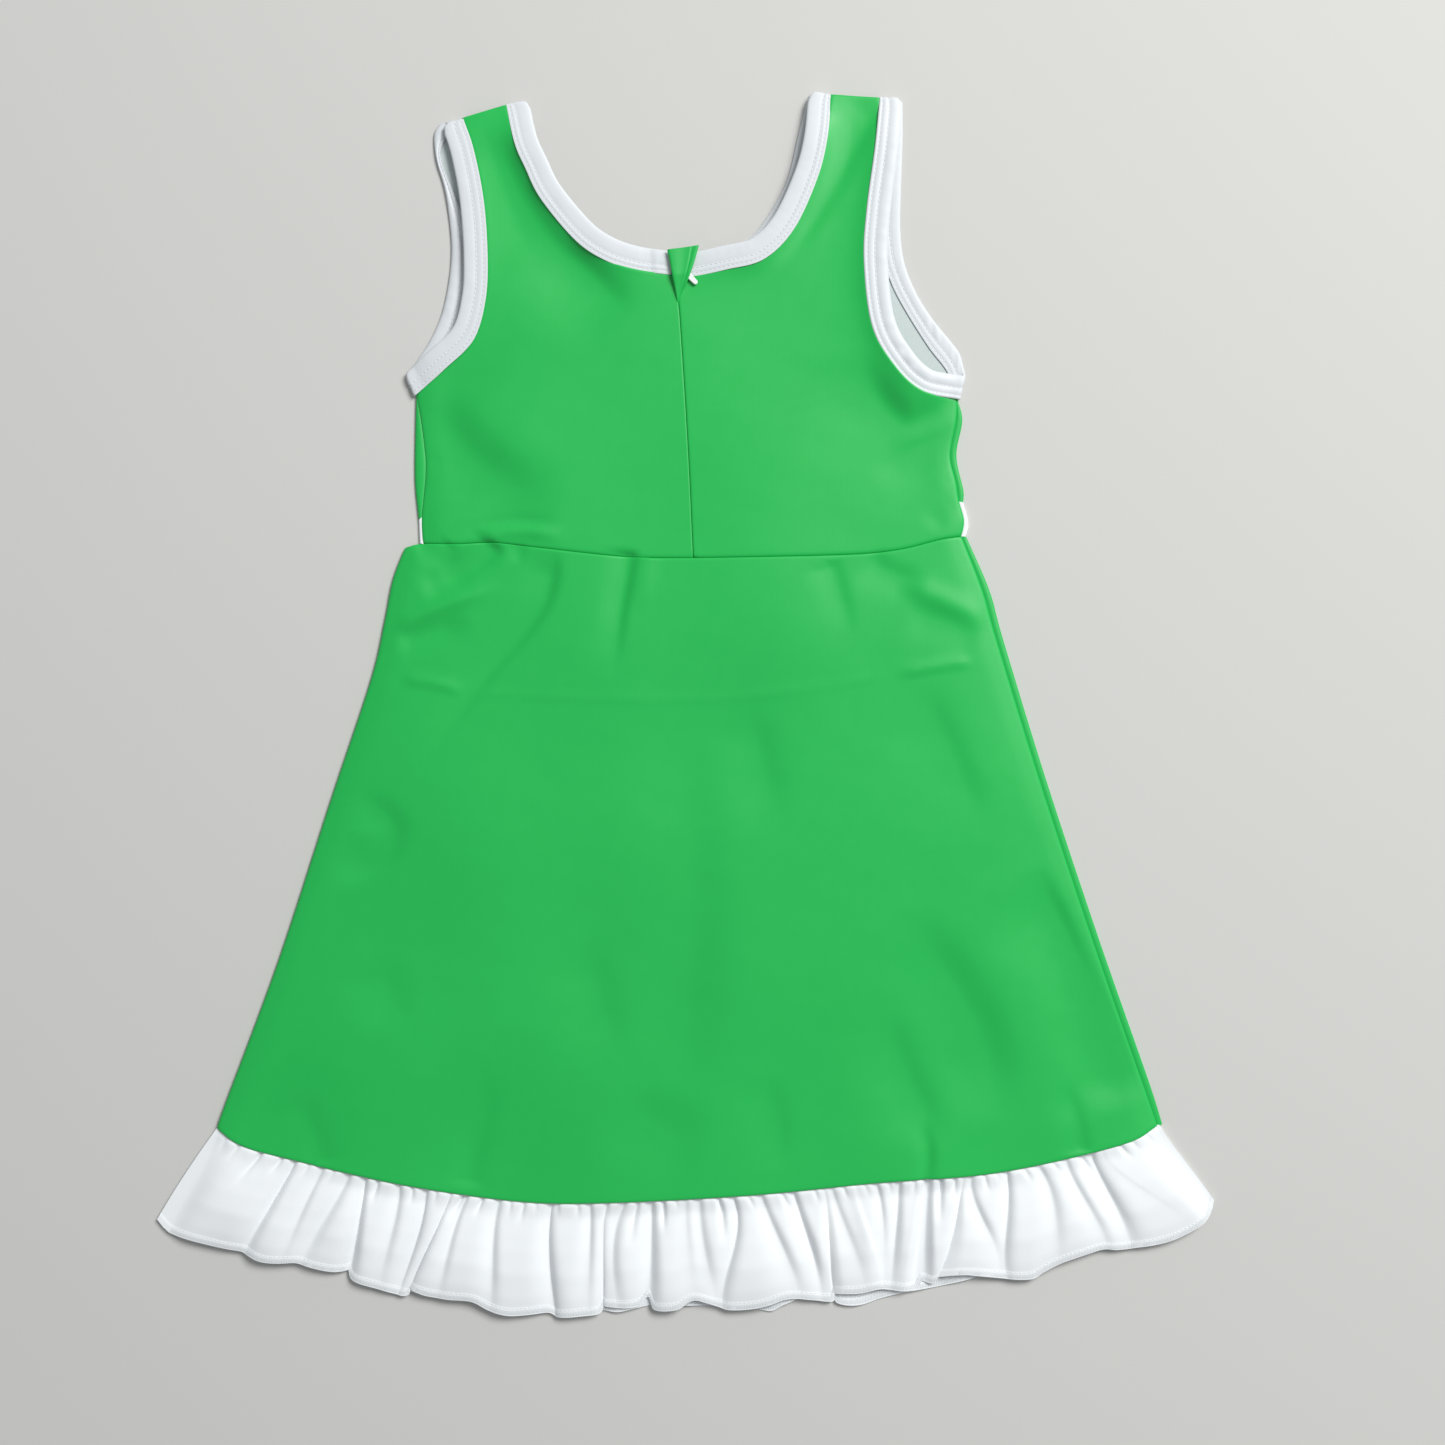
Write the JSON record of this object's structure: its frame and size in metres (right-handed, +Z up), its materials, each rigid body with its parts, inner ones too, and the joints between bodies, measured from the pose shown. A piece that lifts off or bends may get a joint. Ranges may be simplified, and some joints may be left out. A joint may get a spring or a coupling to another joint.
{
  "type": "ruffle dress",
  "caption": "Child's sleeveless jersey dress with bound neck and armholes, A-line skirt and gathered hem ruffle, laid flat with its back side up.",
  "frame": {"origin": "middle of the dress's outline, on the surface that it lies on", "axes": "+X across the dress to the right as seen from its back side, +Y from the hem to the shoulders, +Z up off the surface"},
  "size_m": [0.5508, 0.6377, 0.009],
  "materials": {
    "green_jersey": "smooth stretch jersey with a soft satin sheen",
    "white_jersey": "smooth stretch jersey with a soft satin sheen",
    "white_binding": "folded jersey binding with two rows of cover stitch",
    "zip_plastic": "white lacquer"
  },
  "bodies": {
    "dress": {"back_bodice_left": "green_jersey", "back_bodice_right": "green_jersey", "front_bodice": "green_jersey", "front_waistband": "white_jersey", "back_skirt": "green_jersey", "front_skirt": "green_jersey", "neck_binding": "white_binding", "armhole_binding_left": "white_binding", "armhole_binding_right": "white_binding", "hem_ruffle_back": "white_jersey", "hem_ruffle_front": "white_jersey", "zip_guard": "green_jersey", "zip_slider": "zip_plastic"},
    "pull": {"zip_pull": "zip_plastic"}
  },
  "joints": [
    {"name": "pull_swing", "type": "hinge", "parent": "dress", "child": "pull", "pos_m": [-0.00515, 0.22885, 0.0058], "axis": [0, 0, 1], "range_deg": [-12, 55]}
  ]
}
